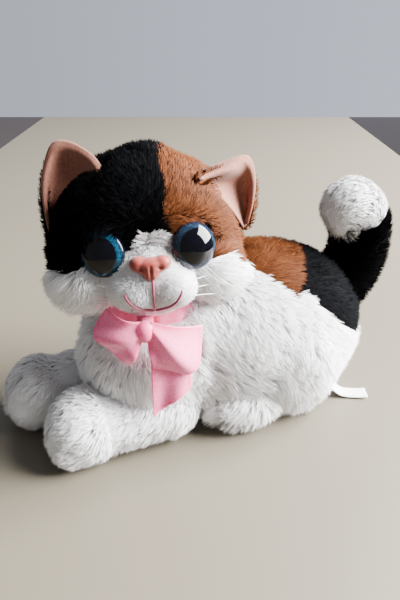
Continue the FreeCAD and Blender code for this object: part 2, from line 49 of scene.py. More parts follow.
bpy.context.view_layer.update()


def turned(turn, lift=0, roll=0):
    """Columns are left, back and up after a turn, a lift of the face and a roll, in degrees."""
    about_z = Matrix.Rotation(math.radians(turn), 3, "Z")
    about_x = Matrix.Rotation(math.radians(-lift), 3, "X")
    about_y = Matrix.Rotation(math.radians(-roll), 3, "Y")
    return np.array(about_z @ about_x @ about_y)


HEAD_TURN = 72
HEAD = np.array([-11.0, -30.0, 121.0])
HEAD_AXES = turned(HEAD_TURN, 15, 2)
NECK = np.array([-11.0, -28.0, 78.0])
NECK_AXIS = np.array([-11.0, -28.0, 0.0])
FACING_AXES = turned(HEAD_TURN)


def to_frame(points):
    return (np.asarray(points, float) - MIDDLE) * MM


def from_head(points):
    return HEAD + np.asarray(points, float) @ HEAD_AXES.T


def to_head(points):
    return (points - HEAD) @ HEAD_AXES


def unit(vectors):
    length = np.linalg.norm(vectors, axis=-1, keepdims=True)
    return vectors / np.maximum(length, 1e-9)


def ramp(values, low, high):
    """0 below low, 1 above high, smooth between."""
    t = np.clip((values - low) / (high - low), 0, 1)
    return t * t * (3 - 2 * t)


# ---------------------------------------------------------------- materials


def shader(name):
    material = bpy.data.materials.new(name)
    material.use_nodes = True
    return material, material.node_tree, material.node_tree.nodes["Principled BSDF"]


def strand_material(name, colour, rough=0.7, sheen=0.3, shine=0.25):
    """One shade of pile. A piece has several."""
    material, _, out = shader(name)
    out.inputs["Base Color"].default_value = (*colour, 1)
    out.inputs["Roughness"].default_value = rough
    out.inputs["Sheen Weight"].default_value = sheen
    out.inputs["Sheen Roughness"].default_value = 0.5
    out.inputs["Specular IOR Level"].default_value = shine
    return material


def cloth_material(name, low, high, scale=900, rough=0.85, sheen=0.4, bump=0.3):
    """Backing cloth or velour: two shades in a fine noise, with a bump."""
    material, tree, out = shader(name)
    place = tree.nodes.new("ShaderNodeTexCoord")
    noise = tree.nodes.new("ShaderNodeTexNoise")
    noise.inputs["Scale"].default_value = scale
    noise.inputs["Detail"].default_value = 4
    shades = tree.nodes.new("ShaderNodeValToRGB")
    shades.color_ramp.elements[0].position = 0.35
    shades.color_ramp.elements[0].color = (*low, 1)
    shades.color_ramp.elements[1].position = 0.65
    shades.color_ramp.elements[1].color = (*high, 1)
    raised = tree.nodes.new("ShaderNodeBump")
    raised.inputs["Strength"].default_value = bump
    raised.inputs["Distance"].default_value = 0.3 * MM
    tree.links.new(place.outputs["Object"], noise.inputs["Vector"])
    tree.links.new(noise.outputs["Fac"], shades.inputs["Fac"])
    tree.links.new(shades.outputs["Color"], out.inputs["Base Color"])
    tree.links.new(noise.outputs["Fac"], raised.inputs["Height"])
    tree.links.new(raised.outputs["Normal"], out.inputs["Normal"])
    out.inputs["Roughness"].default_value = rough
    out.inputs["Sheen Weight"].default_value = sheen
    out.inputs["Specular IOR Level"].default_value = 0.2
    return material


# ---------------------------------------------------------------- soft forms


def add_object(name, mesh):
    item = bpy.data.objects.new(name, mesh)
    bpy.context.scene.collection.objects.link(item)
    return item


def applied(item):
    """Applies every modifier and shades the result smooth."""
    bpy.context.view_layer.update()
    graph = bpy.context.evaluated_depsgraph_get()
    mesh = bpy.data.meshes.new_from_object(item.evaluated_get(graph))
    item.modifiers.clear()
    item.data = mesh
    mesh.shade_smooth()
    return item


def paint_cloth(item, region, materials):
    """Gives each face the cloth of its region."""
    item.data.materials.clear()
    for material in materials:
        item.data.materials.append(material)
    spots = np.empty(len(item.data.polygons) * 3, np.float32)
    item.data.polygons.foreach_get("center", spots)
    chosen = region(spots.reshape(-1, 3) / MM + MIDDLE)
    item.data.polygons.foreach_set("material_index", np.asarray(chosen, np.int32))


def lump(name, blobs, material, body, nodes, voxel=2.5, rounds=8):
    """One smooth closed form round some ellipsoids: centre, half sizes and axes of each."""
    bm = bmesh.new()
    for centre, sizes, axes in blobs:
        stretch = Matrix.Diagonal((*(np.array(sizes) * MM), 1))
        matrix = Matrix.Translation(to_frame(centre)) @ Matrix(axes).to_4x4() @ stretch
        bmesh.ops.create_icosphere(bm, subdivisions=4, radius=1, matrix=matrix)
    mesh = bpy.data.meshes.new(name)
    bm.to_mesh(mesh)
    bm.free()
    item = add_object(name, mesh)
    union = item.modifiers.new("union", "REMESH")
    union.mode = "VOXEL"
    union.voxel_size = voxel * MM
    soften = item.modifiers.new("soften", "SMOOTH")
    soften.factor = 0.5
    soften.iterations = rounds
    applied(item)
    spots = np.empty(len(item.data.vertices) * 3, np.float32)
    item.data.vertices.foreach_get("co", spots)
    spots = spots.reshape(-1, 3)
    spots[:, 2] = np.maximum(spots[:, 2], (TABLE + 0.3) * MM)
    item.data.vertices.foreach_set("co", spots.ravel())
    item.data.update()
    item.data.materials.clear()
    item.data.materials.append(material)
    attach(item, body)
    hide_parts(*nodes)
    return item


PLAIN = np.eye(3)


def chain(start, end, radius, count):
    """Overlapping balls in a row."""
    steps = np.linspace(0, 1, count)[:, None]
    centres = np.asarray(start, float) * (1 - steps) + np.asarray(end, float) * steps
    return [(centre, (radius,) * 3, PLAIN) for centre in centres]


# ---------------------------------------------------------------- pile


class Pile:
    """How one cloth's pile stands. Lengths in millimetres, strands per square millimetre."""

    def __init__(self, shades, length, density, width, lift, clump, pull, ruffle):
        self.shades = shades
        self.length = length
        self.density = density
        self.width = width
        self.lift = lift
        self.clump = clump
        self.pull = pull
        self.ruffle = ruffle


def sample(skin, density, rng):
    """Random points of a mesh, in the cat's coordinates, with their normals."""
    mesh = skin.data
    mesh.calc_loop_triangles()
    spots = np.empty(len(mesh.vertices) * 3)
    facing = np.empty(len(mesh.vertices) * 3)
    corners = np.empty(len(mesh.loop_triangles) * 3, np.int32)
    mesh.vertices.foreach_get("co", spots)
    mesh.vertices.foreach_get("normal", facing)
    mesh.loop_triangles.foreach_get("vertices", corners)
    corners = corners.reshape(-1, 3)
    spots = spots.reshape(-1, 3) / MM + MIDDLE
    facing = facing.reshape(-1, 3)
    a, b, c = (spots[corners[:, k]] for k in range(3))
    area = np.linalg.norm(np.cross(b - a, c - a), axis=1) / 2
    share = np.cumsum(area)
    count = int(share[-1] * density)
    pick = np.searchsorted(share, rng.random(count) * share[-1])
    pick = np.minimum(pick, len(corners) - 1)
    u, v = rng.random((2, count))
    over = u + v > 1
    u[over], v[over] = 1 - u[over], 1 - v[over]
    weights = np.stack([1 - u - v, u, v], axis=1)[:, :, None]
    points = (spots[corners[pick]] * weights).sum(axis=1)
    normals = unit((facing[corners[pick]] * weights).sum(axis=1))
    return points, normals


def swirl(points, size, seed):
    """A smooth vector noise: the same place always gives the same vector."""
    rng = np.random.default_rng(seed)
    total = np.zeros_like(points)
    for octave in range(3):
        waves = rng.normal(size=(3, 3)) * (2.0 / size) * 1.7**octave
        phase = rng.random(3) * 2 * math.pi
        total += np.sin(points @ waves + phase) / 1.4**octave
    return total


def gather(roots, normals, tips, pile, rng):
    """Draws the tips together in tufts."""
    count = max(8, int(len(roots) / (pile.density * pile.clump**2)))
    chosen = rng.choice(len(roots), min(count, len(roots)), replace=False)
    tree = KDTree(len(chosen))
    for number, index in enumerate(chosen):
        tree.insert(roots[index], number)
    tree.balance()
    nearest = np.array([tree.find(root)[1] for root in roots.tolist()])
    middle = tips[chosen][nearest]
    amount = pile.pull * (0.55 + 0.45 * rng.random(len(roots)))[:, None]
    return tips + (middle - tips) * amount


def grow(name, skin, body, pile, trim, comb, seed):
    """Pile on the part of a skin where trim is above 0; trim is a share of the full length."""
    rng = np.random.default_rng(seed)
    density = pile.density * 1
    roots, normals = sample(skin, density, rng)
    share = trim(roots)
    kept = share > 0.02
    roots, normals, share = roots[kept], normals[kept], share[kept]
    along = comb(roots)
    along = along + swirl(roots, 26, seed) * pile.ruffle * 0.35
    along = along - normals * (along * normals).sum(axis=1, keepdims=True)
    lean = unit(along) * np.minimum(np.linalg.norm(along, axis=1, keepdims=True), 1)
    stray = rng.normal(size=roots.shape) * 0.12 * pile.ruffle
    aim = unit(normals * pile.lift + lean * (1 - pile.lift) + stray)
    length = (pile.length * share * rng.uniform(0.72, 1.08, len(roots)))[:, None]
    tips = roots + aim * length
    tips = gather(roots, normals, tips, pile, rng)
    tips[:, 2] -= 0.06 * length[:, 0]
    bends = roots + unit(normals * 0.75 + aim * 0.25) * length * 0.45
    write_strands(name, skin, roots, bends, tips, normals, pile, rng)
    item = bpy.data.objects[name]
    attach(item, body)
    return item


def write_strands(name, skin, roots, bends, tips, normals, pile, rng):
    """Each strand is a narrow bent blade with two full parts and a point."""
    count = len(roots)
    heading = unit(tips - roots)
    side = unit(np.cross(heading, normals) + rng.normal(size=roots.shape) * 1e-3)
    twist = rng.uniform(-0.8, 0.8, count)[:, None]
    side = side * np.cos(twist) + np.cross(heading, side) * np.sin(twist)
    width = (pile.width * rng.uniform(0.7, 1.2, count))[:, None] / 2
    rows = []
    for t, wide in ((0.0, 1.0), (0.45, 0.9), (0.8, 0.55), (1.0, 0.0)):
        spot = roots * (1 - t) ** 2 + bends * (2 * t * (1 - t)) + tips * t**2
        if t == 0:
            spot = spot - normals * 0.8
        rows += [spot] if wide == 0 else [spot - side * width * wide, spot + side * width * wide]
    spots = np.stack(rows, axis=1)
    spots[:, :, 2] = np.maximum(spots[:, :, 2], TABLE)
    mesh = bpy.data.meshes.new(name)
    mesh.vertices.add(count * 7)
    mesh.vertices.foreach_set("co", to_frame(spots).astype(np.float32).ravel())
    blade = np.array([0, 1, 3, 2, 2, 3, 5, 4, 4, 5, 6])
    starts = np.array([0, 4, 8])
    index = (np.arange(count)[:, None] * 7 + blade).ravel()
    mesh.loops.add(count * 11)
    mesh.loops.foreach_set("vertex_index", index.astype(np.int32))
    mesh.polygons.add(count * 3)
    firsts = (np.arange(count)[:, None] * 11 + starts).ravel()
    mesh.polygons.foreach_set("loop_start", firsts.astype(np.int32))
    shade = rng.choice(len(pile.shades), count)
    for material in pile.shades:
        mesh.materials.append(material)
    mesh.polygons.foreach_set("material_index", np.repeat(shade, 3).astype(np.int32))
    mesh.update(calc_edges=True)
    mesh.shade_smooth()
    blade_facing = unit(np.cross(side, heading))
    soft = unit(normals * 0.75 + blade_facing * 0.35)
    mesh.normals_split_custom_set_from_vertices(np.repeat(soft, 7, axis=0))
    add_object(name, mesh)


# ---------------------------------------------------------------- shades

WHITE = [
    strand_material("white_pile_1", (0.96, 0.955, 0.95)),
    strand_material("white_pile_2", (0.93, 0.925, 0.92)),
    strand_material("white_pile_3", (0.89, 0.885, 0.885)),
]
BLACK = [
    strand_material("black_pile_1", (0.0010, 0.0011, 0.0015), 0.9, 0.0, 0.02),
    strand_material("black_pile_2", (0.0017, 0.0018, 0.0022), 0.9, 0.0, 0.02),
    strand_material("black_pile_3", (0.0030, 0.0031, 0.0037), 0.9, 0.0, 0.04),
]
ORANGE = [
    strand_material("orange_pile_1", (0.080, 0.020, 0.0034), 0.7, 0.0, 0.10),
    strand_material("orange_pile_2", (0.058, 0.0135, 0.0024), 0.7, 0.0, 0.10),
    strand_material("orange_pile_3", (0.112, 0.033, 0.0065), 0.7, 0.0, 0.10),
]
VELOUR = [
    strand_material("short_pile_1", (0.88, 0.86, 0.86), 0.8, 0.1),
    strand_material("short_pile_2", (0.80, 0.78, 0.79), 0.8, 0.1),
]
WHITE_CLOTH = cloth_material("white_backing", (0.86, 0.86, 0.86), (0.94, 0.94, 0.94))
BLACK_CLOTH = cloth_material("black_backing", (0.0015, 0.0015, 0.0018), (0.003, 0.003, 0.0033), sheen=0.0)
ORANGE_CLOTH = cloth_material("orange_backing", (0.13, 0.035, 0.008), (0.20, 0.06, 0.015), sheen=0.0)
CLOTHS = (WHITE_CLOTH, BLACK_CLOTH, ORANGE_CLOTH)
PINK_VELOUR = cloth_material("pink_velour", (0.19, 0.072, 0.048), (0.25, 0.105, 0.07), 700, 0.8, 0.15)
ORGANZA = cloth_material("pink_organza", (0.82, 0.11, 0.27), (0.93, 0.22, 0.40), 1200, 0.5, 0.5, 0.2)
SATIN = cloth_material("pink_satin", (0.85, 0.09, 0.24), (0.92, 0.16, 0.34), 500, 0.3, 0.3, 0.1)

LONG = Pile(WHITE, 10, 2.0, 0.60, 0.42, 6.0, 0.36, 0.8)
PAW_PILE = Pile(WHITE, 8, 3.0, 0.65, 0.36, 5.0, 0.28, 0.6)
BLACK_PILE = Pile(BLACK, 7.5, 2.2, 0.50, 0.58, 3.5, 0.4, 0.9)
ORANGE_PILE = Pile(ORANGE, 7.5, 2.2, 0.50, 0.52, 3.5, 0.42, 0.9)
SHORT = Pile(VELOUR, 2.6, 4.0, 0.35, 0.55, 2.0, 0.2, 0.6)


# ---------------------------------------------------------------- body

SIDES = {"left": 1, "right": -1}
BELLY = ("belly_panel", "chest_panel", "breast_panel", "side_panel_left", "side_panel_right", "saddle_panel")
TORSO_NODES = BELLY + ("rump_panel", "torso_stuffing", "chest_stuffing", "pellet_pouch")


def above_edge(y, z, edge):
    """How far a point is above an edge given as (y, z) corners from front to back."""
    ys, zs = zip(*edge)
    return z - np.interp(y, ys, zs)


SADDLE_EDGE = ((-80, 110), (5, 102), (24, 98), (31, 95), (38, 89), (47, 82), (90, 78))
RUMP_EDGE = ((47, 86), (54, 83), (61, 76), (73, 65), (90, 52), (130, 28))


def crest(z):
    """Where the saddle ends, from the flank up to the back."""
    return np.interp(z, (86, 90, 97, 100), (47, 53, 62, 77))


def is_black(points):
    """The rump's panel: behind the saddle's back edge and above its own lower edge."""
    y, z = points[:, 1], points[:, 2]
    return (y > crest(z)) & (above_edge(y, z, RUMP_EDGE) > 0)


def is_orange(points):
    y, z = points[:, 1], points[:, 2]
    return (y <= crest(z)) & (above_edge(y, z, SADDLE_EDGE) > 0)


def back_comb(points):
    """The body's pile runs back and down from the neck."""
    aim = np.zeros_like(points)
    aim[:, 1] = 0.75
    aim[:, 2] = -0.55
    front = ramp(-points[:, 1], 10, 50)
    aim[:, 1] -= front * 0.8
    aim[:, 2] -= front * 0.3
    return aim


def under_bow(points):
    """Short under the ribbon and the bow, full elsewhere."""
    x, y, z = ((points - NECK_AXIS) @ FACING_AXES).T
    collar = ramp(-np.hypot(x, y), -52, -45) * ramp(-abs(z - 88 + 0.13 * x), -12, -8)
    front = (y < 0) * ramp(-abs(x + 4), -32, -24) * ramp(-abs(z - 80), -22, -16)
    hanging = (y < 0) * ramp(-abs(x - 8), -16, -10) * ramp(-abs(z - 55), -20, -14)
    return 1 - 0.65 * np.maximum(np.maximum(collar, front), hanging)


def torso():
    blobs = [
        ((0, 38, 44), (54 - CLOTH, 80 - CLOTH, 63 - CLOTH), PLAIN),
        ((0, -35, 46), (46 - CLOTH, 45 - CLOTH, 46 - CLOTH), PLAIN),
        ((-3, -8, 62), (40, 42, 42), PLAIN),
        ((-9, -28, 84), (27, 28, 30), PLAIN),
    ]
    skin = lump("body_cloth", blobs, WHITE_CLOTH, "torso", TORSO_NODES, 3.0, 14)
    paint_cloth(skin, lambda p: np.where(is_black(p), 1, np.where(is_orange(p), 2, 0)), CLOTHS)
    is_white = lambda p: ~is_black(p) & ~is_orange(p)
    for name, pile, trim, seed, slot in (
        ("body_pile_left", LONG, lambda p: under_bow(p) * (is_white(p) & (p[:, 0] >= 0)), 11, "white_plush"),
        ("body_pile_right", LONG, lambda p: under_bow(p) * (is_white(p) & (p[:, 0] < 0)), 12, "white_plush"),
        ("saddle_pile", ORANGE_PILE, lambda p: is_orange(p) * 1.0, 13, "orange_plush"),
        ("rump_pile", BLACK_PILE, lambda p: is_black(p) * 1.0, 14, "black_plush"),
    ):
        grow(name, skin, "torso", pile, trim, back_comb, seed)


def full(points):
    """The whole length of pile everywhere."""
    return np.ones(len(points))


def hind_leg(side, sign):
    blobs = [
        ((sign * 34.5, 51, 36), (19, 31, 33), PLAIN),
        ((sign * 35, 17, 15), (15, 25, 14), PLAIN),
    ]
    nodes = (f"hind_leg_{side}_cover", f"hind_thigh_{side}_stuffing", f"hind_foot_{side}_stuffing")
    skin = lump(f"hind_leg_{side}_cloth", blobs, WHITE_CLOTH, "torso", nodes)

    def comb(points):
        aim = np.zeros_like(points)
        foot = ramp(-points[:, 1], -30, -14)
        aim[:, 0] = sign * 0.15
        aim[:, 1] = 0.35 - 1.2 * foot
        aim[:, 2] = -0.8 + 0.4 * foot
        return aim

    grow(f"hind_leg_{side}_pile", skin, "torso", LONG, full, comb, 21 + sign)


# ---------------------------------------------------------------- front legs

PAWS = {"left": (24, -85), "right": (-22, -103)}


def front_leg(side, sign):
    x, y = PAWS[side]
    shoulder = np.array([sign * 27.0, -34.0, 20.0])
    paw = np.array([x, y, 20.0])
    along = unit(paw - shoulder)
    across = np.cross(along, (0, 0, 1))
    blobs = chain(shoulder, paw, 16.5, 7)
    blobs.append((paw, (20.5, 19.5, 19), PLAIN))
    for offset in (-11, 0, 11):
        toe = paw + along * (11 - abs(offset) * 0.25) + across * offset + np.array([0, 0, -5])
        blobs.append((toe, (8, 9, 11), PLAIN))
    nodes = (f"front_leg_{side}_cover", f"front_leg_{side}_stuffing", f"toe_stitches_{side}")
    body = f"front_leg_{side}"
    skin = lump(f"front_leg_{side}_cloth", blobs, WHITE_CLOTH, body, nodes, 2.2, 5)

    def comb(points):
        aim = np.tile(along * 0.9, (len(points), 1))
        aim[:, 2] -= 0.5
        return aim

    def trim(points):
        """Short in the two creases between the toes, where the thread draws the cloth in."""
        ahead = (points - paw) @ along
        beside = (points - paw) @ across
        crease = np.minimum(abs(beside - 5.5), abs(beside + 5.5))
        return 1 - 0.65 * ramp(-crease, -2.0, 0) * ramp(ahead, 4, 10)

    grow(f"front_leg_{side}_pile", skin, body, PAW_PILE, trim, comb, 31 + sign)


# ---------------------------------------------------------------- head

EYES = {"left": ((24, -41, -4), 20), "right": ((-23, -41, -5), -20)}
EYE_WIDE = 12.5  # radius of an eye's rim
EYE_DOME = 16  # radius of its curve
MUZZLE = np.array([0.0, -30.0, -20.0])
MUZZLE_SIZES = np.array([27.0, 24.0, 23.0])
HEAD_NODES = (
    "head_orange_front_panel",
    "head_orange_back_panel",
    "head_black_front_panel",
    "head_black_back_panel",
    "cheek_panel",
    "blaze_panel",
    "head_stuffing",
    "nose_washer",
    "eye_left_washer",
    "eye_right_washer",
)


def eye_axes(side):
    """Columns of an eye's frame: across, up and out of the face."""
    seat, turn = EYES[side]
    local = np.array(Matrix.Rotation(math.radians(turn), 3, "Z") @ Matrix.Rotation(math.radians(90), 3, "X"))
    return from_head(np.array(seat)), HEAD_AXES @ local


def clear_of_eyes(points):
    """0 under an eye, 1 away from it."""
    share = np.ones(len(points))
    for side in EYES:
        centre, axes = eye_axes(side)
        local = (points - centre) @ axes
        away = np.hypot(local[:, 0], local[:, 1])
        near = abs(local[:, 2]) < 14
        share = np.where(near, share * ramp(away, EYE_WIDE - 3, EYE_WIDE + 1), share)
    return share


def head_region(points):
    """0 white, 1 black, 2 orange. Black and orange meet on the crown and the blaze is white."""
    x, y, z = to_head(points).T
    seam = -12 - 4 * ramp(abs(x), 30, 50) + 1.5 * np.sin(x * 0.35)
    half = np.interp(z, (-16, 2), (17, 7))
    blaze = (y < 0) & (z < 3.5) & (abs(x - 3.5) < half)
    region = np.where(x < 10 + 0.8 * np.sin(z * 0.3), 1, 2)
    return np.where((z < seam) | blaze, 0, region)


def brow(points, side, reach):
    """1 at an eye's rim above and beside it, 0 beyond reach, and the way to the eye's centre."""
    x, y, z = to_head(points).T
    seat, _ = EYES[side]
    gap = np.array([seat[0], seat[2]]) - np.stack([x, z], axis=1)
    near = ramp(-np.linalg.norm(gap, axis=1), -EYE_WIDE - reach, -EYE_WIDE)
    return near * (y < -10) * (gap[:, 1] < 6), unit(gap)


def head_comb(points):
    """Away from the nose, over the crown to the back and down the cheeks."""
    x, y, z = to_head(points).T
    aim = np.stack([x * 0.02, 0.25 + 0 * x, (z + 14) * 0.015], axis=1)
    aim[:, 1] += 0.45 * ramp(z, 0, 40)
    aim[:, 2] -= 0.55 * ramp(-z, 5, 25)
    aim[:, 2] -= 0.35 * ramp(y, 0, 30)
    for side, over in (("left", 1.0), ("right", 2.2)):
        near, inward = brow(points, side, 9)
        aim[:, (0, 2)] += inward * (near * over)[:, None]
    return aim @ HEAD_AXES.T


def head():
    blobs = [(from_head((-1.5, 0, 0)), (54.5, 47 - CLOTH, 45), HEAD_AXES)]
    blobs.append((from_head((2, 2, 20)), (27, 31, 28.5), HEAD_AXES))
    for sign in (1, -1):
        blobs.append((from_head((sign * 31 - 1, -16, -19)), (22, 22, 17), HEAD_AXES))
    skin = lump("head_cloth", blobs, WHITE_CLOTH, "head", HEAD_NODES, 2.5, 8)
    paint_cloth(skin, head_region, CLOTHS)
    longer = Pile(WHITE, 12, 2.0, 0.60, 0.40, 6.0, 0.42, 0.8)

    def trim(points):
        """Bare under the eyes and the muzzle, and short next to them."""
        local = (to_head(points) - MUZZLE) / (MUZZLE_SIZES - 1)
        away = np.linalg.norm(local, axis=1)
        return clear_of_eyes(points) * (0.45 + 0.55 * ramp(away, 1.0, 1.5)) * (away > 0.97) * off_ears(points)

    def brows(points):
        """The dark pile is longer over the eyes."""
        return 1 + 0.9 * brow(points, "right", 7)[0] + 0.3 * brow(points, "left", 7)[0]

    for region, (name, pile, slot) in enumerate(
        (
            ("head_white_pile", longer, "white_plush"),
            ("head_black_pile", BLACK_PILE, "black_plush"),
            ("head_orange_pile", ORANGE_PILE, "orange_plush"),
        )
    ):

        def chosen(points, region=region):
            return trim(points) * (head_region(points) == region) * (brows(points) if region else 1)

        grow(name, skin, "head", pile, chosen, head_comb, 41 + region)


def off_mouth(points):
    """Short beside the embroidery, which lies in the pile."""
    x, _, z = to_head(points).T
    spots = np.concatenate([np.array(line) for line in mouth_lines()])
    gap = np.hypot(x[:, None] - spots[:, 0], z[:, None] - spots[:, 1]).min(axis=1)
    return 0.3 + 0.7 * ramp(gap, 0.8, 2.5)


def muzzle():
    """A white short-pile muzzle of two puffs and a chin."""
    sizes = MUZZLE_SIZES - 1.6
    blobs = [(from_head(MUZZLE), sizes, HEAD_AXES)]
    for sign in (1, -1):
        blobs.append((from_head((1 + sign * 10, -41, -25)), (13, 12, 11), HEAD_AXES))
    skin = lump("muzzle_cloth", blobs, WHITE_CLOTH, "head", ("muzzle_panel",), 1.6, 8)

    def comb(points):
        x, y, z = to_head(points).T
        aim = np.stack([(x - 1) * 0.06, 0.3 + 0 * x, (z + 20) * 0.03 - 0.2], axis=1)
        return aim @ HEAD_AXES.T

    trim = lambda p: (to_head(p)[:, 1] < -8) * np.where(clear_of_eyes(p) > 0.4, 1.0, 0.0)
    trimmed = lambda p: trim(p) * off_mouth(p)
    grow("muzzle_pile", skin, "head", SHORT, trimmed, comb, 51)
    return skin


# ---------------------------------------------------------------- thin pieces


def spline(points, count):
    """A smooth line through some points."""
    points = np.asarray(points, float)
    t = np.linspace(0, len(points) - 1, count)
    first = np.minimum(t.astype(int), len(points) - 2)
    f = (t - first)[:, None]
    ends = np.vstack([2 * points[0] - points[1], points, 2 * points[-1] - points[-2]])
    a, b, c, d = (ends[first + k] for k in range(4))
    return b + 0.5 * f * (c - a + f * (2 * a - 5 * b + 4 * c - d + f * (3 * b - a - 3 * c + d)))


def grid_normals(grid):
    down = np.gradient(grid, axis=0)
    across = np.gradient(grid, axis=1)
    return unit(np.cross(down, across))


def grid_cells(number):
    """The four corners of each cell of a grid of numbers."""
    corners = [number[:-1, :-1], number[1:, :-1], number[1:, 1:], number[:-1, 1:]]
    return np.stack(corners, axis=-1).reshape(-1, 4)


def thin_piece(name, grid, thick, materials, body, nodes, edge=0.0):
    """A closed thin sheet on a grid of points. Cells within edge mm of the rim take the second material."""
    lift = grid_normals(grid) * thick / 2
    rows, columns = grid.shape[:2]
    number = np.arange(rows * columns).reshape(rows, columns)
    cells = grid_cells(number)
    rim = np.concatenate([number[0, :], number[1:, -1], number[-1, -2::-1], number[-2:0:-1, 0]])
    under = rows * columns
    band = [(a, b, b + under, a + under) for a, b in zip(rim, np.roll(rim, -1))]
    faces = [tuple(cell) for cell in cells.tolist()]
    faces += [tuple(cell[::-1]) for cell in (cells + under).tolist()] + band
    spots = np.concatenate([(grid + lift).reshape(-1, 3), (grid - lift).reshape(-1, 3)])
    spots[:, 2] = np.maximum(spots[:, 2], TABLE)
    mesh = bpy.data.meshes.new(name)
    mesh.from_pydata(to_frame(spots).tolist(), [], faces)
    for material in materials:
        mesh.materials.append(material)
    if edge:
        middles = (grid[:-1, :-1] + grid[1:, 1:]) / 2
        border = np.concatenate([grid[0], grid[-1], grid[:, 0], grid[:, -1]])
        tree = KDTree(len(border))
        for index, spot in enumerate(border.tolist()):
            tree.insert(spot, index)
        tree.balance()
        near = [int(tree.find(spot)[2] < edge) for spot in middles.reshape(-1, 3).tolist()]
        mesh.polygons.foreach_set("material_index", near + near + [1] * len(band))
    mesh.validate()
    mesh.shade_smooth()
    item = add_object(name, mesh)
    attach(item, body)
    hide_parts(*nodes)
    return item


def tube(name, lines, radius, material, body, nodes):
    """Round strands along some lines of points."""
    spots, faces = [], []
    ring = np.linspace(0, 2 * math.pi, 8, endpoint=False)
    for line in lines:
        heading = unit(np.gradient(line, axis=0))
        side = unit(np.cross(heading, (0.13, 0.21, 0.97)))
        other = np.cross(heading, side)
        taper = np.interp(np.linspace(0, 1, len(line)), (0, 0.06, 0.94, 1), (0.5, 1, 1, 0.5))
        base = len(spots) * 8
        for spot, a, b, share in zip(line, side, other, taper):
            spots.append(spot + radius * share * (np.cos(ring)[:, None] * a + np.sin(ring)[:, None] * b))
        for row in range(len(line) - 1):
            low = base + row * 8
            faces += [(low + k, low + (k + 1) % 8, low + 8 + (k + 1) % 8, low + 8 + k) for k in range(8)]
        end = base + len(line) * 8
        faces += [tuple(range(base + 7, base - 1, -1)), tuple(range(end - 8, end))]
    mesh = bpy.data.meshes.new(name)
    mesh.from_pydata(to_frame(np.concatenate(spots)).tolist(), [], faces)
    mesh.materials.append(material)
    mesh.shade_smooth()
    item = add_object(name, mesh)
    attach(item, body)
    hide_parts(*nodes)
    return item


# ---------------------------------------------------------------- face


def eye_material(name, ring, painted_glint):
    """A black pupil in a ring of glitter, with a dark edge, under clear plastic. The glitter flakes are real,
    but their bright centres are painted glints.
    """
    material, tree, out = shader(name)
    nodes, links = tree.nodes, tree.links
    place = nodes.new("ShaderNodeTexCoord")
    flat = nodes.new("ShaderNodeVectorMath")
    flat.operation = "MULTIPLY"
    flat.inputs[1].default_value = (1 / (EYE_WIDE * MM), 1 / (EYE_WIDE * MM), 0)
    away = nodes.new("ShaderNodeVectorMath")
    away.operation = "LENGTH"
    bands = nodes.new("ShaderNodeValToRGB")
    stops = bands.color_ramp.elements
    stops[0].position, stops[0].color = 0.74, (0.002, 0.002, 0.004, 1)
    stops[1].position, stops[1].color = 0.80, (*ring, 1)
    for position, colour in ((0.90, ring), (0.98, (0.01, 0.015, 0.03))):
        stop = stops.new(position)
        stop.color = (*colour, 1)
    # painted glints: each flake's centre is painted brighter than the ring, in place of its sparkle
    glitter = nodes.new("ShaderNodeTexVoronoi")
    glitter.inputs["Scale"].default_value = 1500
    flakes = nodes.new("ShaderNodeValToRGB")
    flakes.color_ramp.elements[0].position, flakes.color_ramp.elements[0].color = 0.0, (*painted_glint, 1)
    flakes.color_ramp.elements[1].position, flakes.color_ramp.elements[1].color = 0.45, (0.25, 0.25, 0.3, 1)
    mixed = nodes.new("ShaderNodeMix")
    mixed.data_type = "RGBA"
    mixed.blend_type = "MULTIPLY"
    mixed.inputs["Factor"].default_value = 1
    links.new(place.outputs["Object"], flat.inputs[0])
    links.new(flat.outputs["Vector"], away.inputs[0])
    links.new(away.outputs["Value"], bands.inputs["Fac"])
    links.new(place.outputs["Object"], glitter.inputs["Vector"])
    links.new(glitter.outputs["Distance"], flakes.inputs["Fac"])
    links.new(bands.outputs["Color"], mixed.inputs["A"])
    links.new(flakes.outputs["Color"], mixed.inputs["B"])
    links.new(mixed.outputs["Result"], out.inputs["Base Color"])
    out.inputs["Roughness"].default_value = 0.05
    out.inputs["Specular IOR Level"].default_value = 0.3
    return material


def eyes():
    # the last colour of each eye is the painted glint at the glitter flakes' centres
    shades = {
        "left": eye_material("glitter_grey", (0.020, 0.040, 0.066), (1.8, 1.9, 2.0)),
        "right": eye_material("glitter_teal", (0.008, 0.070, 0.115), (1.8, 2.0, 2.1)),
    }
    reach = math.asin(EYE_WIDE / EYE_DOME)
    dome_middle = 2.6 - EYE_DOME * math.cos(reach)
    angles = np.linspace(0, reach, 20)[1:]
    cap = [(EYE_DOME * math.sin(a), dome_middle + EYE_DOME * math.cos(a)) for a in angles]
    profile = cap + [(EYE_WIDE, 2.2), (EYE_WIDE, 0.2), (EYE_WIDE - 0.6, -0.8)]
    steps = 64
    ring = np.linspace(0, 2 * math.pi, steps, endpoint=False)
    for side in EYES:
        bm = bmesh.new()
        loops = []
        for r, h in profile:
            loops.append([bm.verts.new((r * math.cos(a) * MM, r * math.sin(a) * MM, h * MM)) for a in ring])
        top = bm.verts.new((0, 0, (dome_middle + EYE_DOME) * MM))
        for k in range(steps):
            after = (k + 1) % steps
            bm.faces.new((top, loops[0][k], loops[0][after]))
            for low, high in zip(loops, loops[1:]):
                bm.faces.new((low[k], high[k], high[after], low[after]))
        bm.faces.new(loops[-1][::-1])
        mesh = bpy.data.meshes.new(f"eye_{side}")
        bm.to_mesh(mesh)
        bm.free()
        mesh.shade_smooth()
        mesh.materials.append(shades[side])
        item = add_object(f"eye_{side}", mesh)
        centre, axes = eye_axes(side)
        item.matrix_world = Matrix.Translation(to_frame(centre)) @ Matrix(axes).to_4x4()
        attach(item, "head")
        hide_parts(f"eye_{side}_dome", f"eye_{side}_iris")


